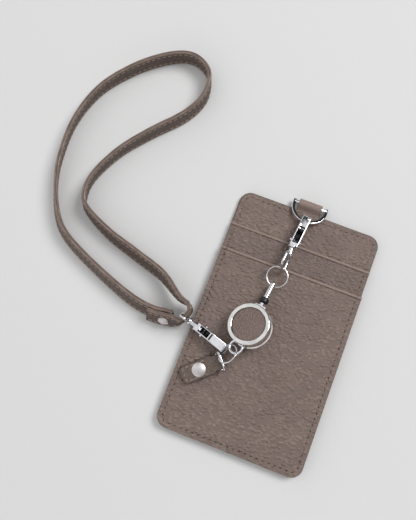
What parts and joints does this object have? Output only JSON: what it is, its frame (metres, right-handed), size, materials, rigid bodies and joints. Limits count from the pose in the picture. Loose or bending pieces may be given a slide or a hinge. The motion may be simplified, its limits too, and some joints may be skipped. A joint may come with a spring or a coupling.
{
  "type": "id badge wallet",
  "caption": "Flat stitched leather badge wallet with a clear window and pockets, joined by a ring and snap hooks to a retracting cord reel, a riveted fob and a folded wrist strap.",
  "frame": {"origin": "on the wallet's back face, at the middle of the lower border of its window frame", "axes": "+X across the wallet to its right side seen from the front, +Y along its height to the ring edge, +Z out of the front face"},
  "size_m": [0.1621, 0.1734, 0.0186],
  "materials": {
    "wallet_leather": "pebbled taupe leather, satin",
    "board_lining": "dark brown lining board with painted edges",
    "clear_sheet": "clear, glossy",
    "chrome_wire": "polished",
    "chrome_cast": "polished",
    "steel_shell": "polished, pressed",
    "black_lever": "glossy black",
    "spring_steel": "satin",
    "black_cord": "braided black cord",
    "white_plastic": "matt",
    "reel_leather": "pebbled taupe leather",
    "strap_leather": "taupe leather, dark painted edges",
    "fob_leather": "taupe leather, stitched",
    "rivet_metal": "polished"
  },
  "bodies": {
    "wallet": {"back_frame": "wallet_leather", "id_window": "clear_sheet", "centre_board": "board_lining", "front_panel": "wallet_leather", "upper_pocket": "wallet_leather", "main_pocket": "wallet_leather", "loop_tab": "wallet_leather"},
    "ring": {"d_ring": "chrome_wire"},
    "upper_hook": {"upper_hook_body": "chrome_cast", "upper_lever_pin": "chrome_cast", "upper_lever_spring": "spring_steel"},
    "upper_trigger": {"upper_lever": "black_lever"},
    "upper_swivel": {"upper_eye": "chrome_wire"},
    "link": {"jump_ring": "chrome_wire"},
    "cord_end": {"cord_end_tube": "chrome_cast", "cord_stopper": "black_lever", "cord_core": "black_cord"},
    "reel": {"reel_back_cover": "steel_shell", "reel_case": "steel_shell", "reel_bezel": "chrome_cast", "reel_inlay": "reel_leather", "reel_arbor": "steel_shell", "reel_mainspring": "spring_steel", "pull_cord": "black_cord", "reel_nozzle": "chrome_cast", "reel_bail": "chrome_wire"},
    "spool": {"reel_spool": "white_plastic", "wound_cord": "black_cord"},
    "lower_hook": {"lower_hook_body": "chrome_cast", "lower_lever_pin": "chrome_cast", "lower_lever_spring": "spring_steel"},
    "lower_trigger": {"lower_lever": "black_lever"},
    "lower_swivel": {"lower_eye": "chrome_wire"},
    "strap": {"wrist_strap": "strap_leather", "strap_rivet_cap": "rivet_metal", "strap_rivet_back": "rivet_metal"},
    "fob_link": {"fob_jump_ring": "chrome_wire"},
    "fob_ring": {"fob_d_ring": "chrome_wire"},
    "fob": {"fob_leather": "fob_leather", "fob_rivet_cap": "rivet_metal", "fob_rivet_back": "rivet_metal"}
  },
  "joints": [
    {"name": "ring_swing", "type": "hinge", "parent": "wallet", "child": "ring", "pos_m": [-0.002, 0.1125, 0.0024], "axis": [-1, 0, 0], "range_deg": [0, 160]},
    {"name": "upper_hook_swing", "type": "hinge", "parent": "ring", "child": "upper_hook", "pos_m": [-0.002, 0.10357, 0.00565], "axis": [-0.9936, 0.1132, 0], "range_deg": [0, 90]},
    {"name": "upper_lever_press", "type": "hinge", "parent": "upper_hook", "child": "upper_trigger", "pos_m": [-0.00325, 0.09263, 0.00718], "axis": [0.9936, -0.1132, 0], "range_deg": [0, 10], "stiffness_Nm_per_rad": 0.005, "springref_deg": -20.05},
    {"name": "upper_swivel_turn", "type": "hinge", "parent": "upper_hook", "child": "upper_swivel", "pos_m": [-0.00365, 0.08911, 0.00884], "axis": [0.1111, 0.9753, -0.1908], "range_deg": [0, 45]},
    {"name": "link_swing", "type": "hinge", "parent": "upper_swivel", "child": "link", "pos_m": [-0.00396, 0.07818, 0.0083], "axis": [-0.9511, 0.309, 0], "range_deg": [0, 45]},
    {"name": "cord_end_swing", "type": "hinge", "parent": "link", "child": "cord_end", "pos_m": [-0.00624, 0.06868, 0.0083], "axis": [-0.9877, 0.1564, 0], "range_deg": [0, 50]},
    {"name": "cord_pull", "type": "slide", "parent": "cord_end", "child": "reel", "axis": [-0.1356, -0.9649, 0.225], "range_m": [0, 0.5], "stiffness_N_per_m": 2, "springref_m": -0.4},
    {"name": "spool_spin", "type": "hinge", "parent": "reel", "child": "spool", "pos_m": [-0.00944, 0.04742, 0.01157], "axis": [0.3412, -0.1364, -0.93], "range_deg": [0, 4000]},
    {"name": "fob_link_swing", "type": "hinge", "parent": "reel", "child": "fob_link", "pos_m": [-0.01393, 0.03397, 0.01189], "axis": [-0.938, 0.247, 0.243], "range_deg": [0, 45]},
    {"name": "lower_hook_swing", "type": "hinge", "parent": "fob_link", "child": "lower_hook", "pos_m": [-0.01744, 0.03409, 0.00831], "axis": [0.481, 0.8715, 0.0953], "range_deg": [0, 50]},
    {"name": "lower_lever_press", "type": "hinge", "parent": "lower_hook", "child": "lower_trigger", "pos_m": [-0.02838, 0.03764, 0.00711], "axis": [-0.309, -0.9511, 0], "range_deg": [0, 10], "stiffness_Nm_per_rad": 0.005, "springref_deg": -20.05},
    {"name": "lower_swivel_turn", "type": "hinge", "parent": "lower_hook", "child": "lower_swivel", "pos_m": [-0.03204, 0.03883, 0.00786], "axis": [0.9498, -0.3086, 0.0523], "range_deg": [0, 25]},
    {"name": "strap_swing", "type": "hinge", "parent": "lower_swivel", "child": "strap", "pos_m": [-0.04065, 0.04163, 0.00739], "axis": [-0.1027, -0.1492, 0.9835], "range_deg": [0, 35]},
    {"name": "fob_ring_swing", "type": "hinge", "parent": "fob_link", "child": "fob_ring", "pos_m": [-0.01813, 0.03, 0.00931], "axis": [-0.1921, 0.8366, -0.5131], "range_deg": [0, 25]},
    {"name": "fob_swing", "type": "hinge", "parent": "fob_ring", "child": "fob", "pos_m": [-0.01696, 0.02742, 0.007], "axis": [-0.6702, 0.7416, 0.0296], "range_deg": [0, 45]}
  ],
  "couplings": [
    {"joint": "spool_spin", "follows": "cord_pull", "rad_per_m": 129.87}
  ]
}
